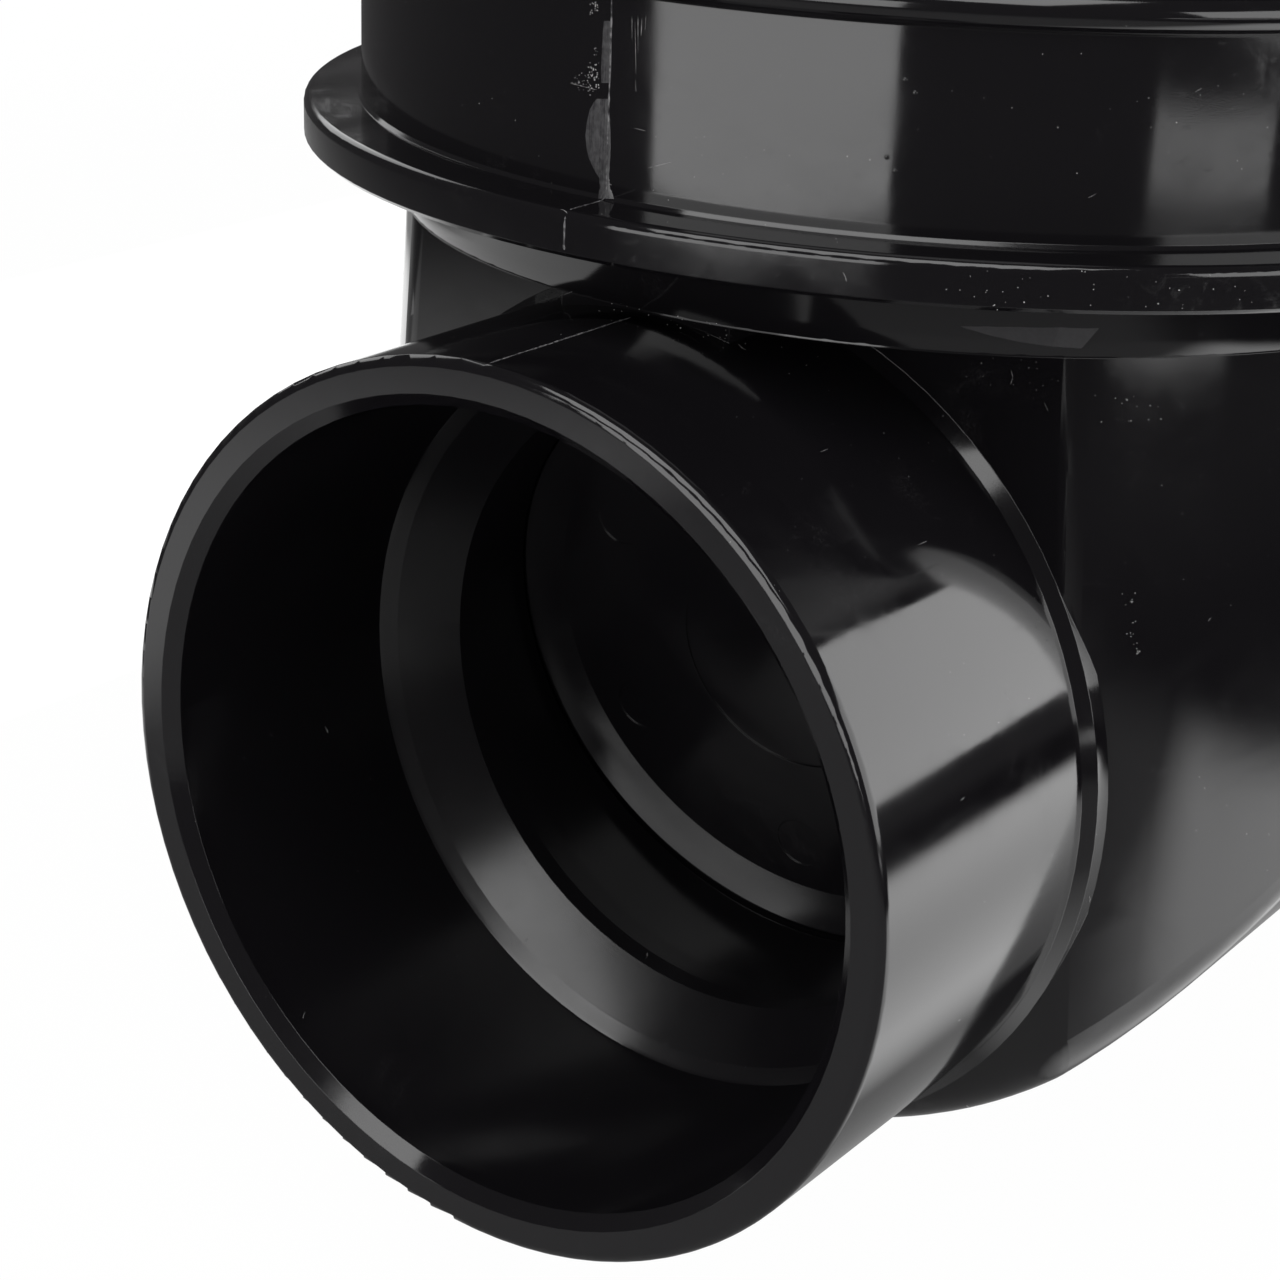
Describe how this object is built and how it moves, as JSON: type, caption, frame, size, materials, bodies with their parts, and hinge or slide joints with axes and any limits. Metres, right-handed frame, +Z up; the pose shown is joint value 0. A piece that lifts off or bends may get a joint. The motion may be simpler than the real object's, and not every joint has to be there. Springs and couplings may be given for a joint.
{
  "type": "backwater valve",
  "caption": "Drain backwater valve with two pipe sockets, a flanged round access neck under a screwed cover, and a hinged flap that shuts the inlet against backflow.",
  "frame": {"origin": "centre of the inlet socket where its mouth bevel ends, on the axis shared by the inlet and the outlet", "axes": "+X the way the water flows, from the inlet to the outlet; +Z up through the access neck; +Y to the left when looking along the flow"},
  "size_m": [0.26, 0.2052, 0.1886],
  "materials": {
    "body_plastic": "glossy black moulded plastic with trimmed flash on the parting line",
    "cover_plastic": "glossy black moulded plastic",
    "flap_plastic": "glossy black moulded plastic",
    "carrier_plastic": "black moulded plastic, slightly duller",
    "bracket_plastic": "black moulded plastic, slightly duller",
    "gasket_rubber": "matt black rubber",
    "seal_rubber": "matt black rubber",
    "screw_steel": "plain stainless steel",
    "washer_steel": "plain stainless steel",
    "pin_steel": "ground stainless steel",
    "clip_steel": "spring steel",
    "insert_brass": "machined brass"
  },
  "bodies": {
    "housing": {"valve_body": "body_plastic", "access_cover": "cover_plastic", "cover_gasket": "gasket_rubber", "cover_screws": "screw_steel", "cover_washers": "washer_steel", "cover_inserts": "insert_brass", "hinge_bracket": "bracket_plastic", "bracket_screws": "screw_steel", "bracket_inserts": "insert_brass", "hinge_pin": "pin_steel", "pin_clip_left": "clip_steel", "pin_clip_right": "clip_steel"},
    "flap": {"flap_face": "flap_plastic", "flap_seal": "seal_rubber", "flap_carrier": "carrier_plastic", "flap_screws": "screw_steel"}
  },
  "joints": [
    {"name": "flap_hinge", "type": "hinge", "parent": "housing", "child": "flap", "pos_m": [0.06651, 0, 0.06252], "axis": [0, -1, 0], "range_deg": [0, 75]}
  ]
}
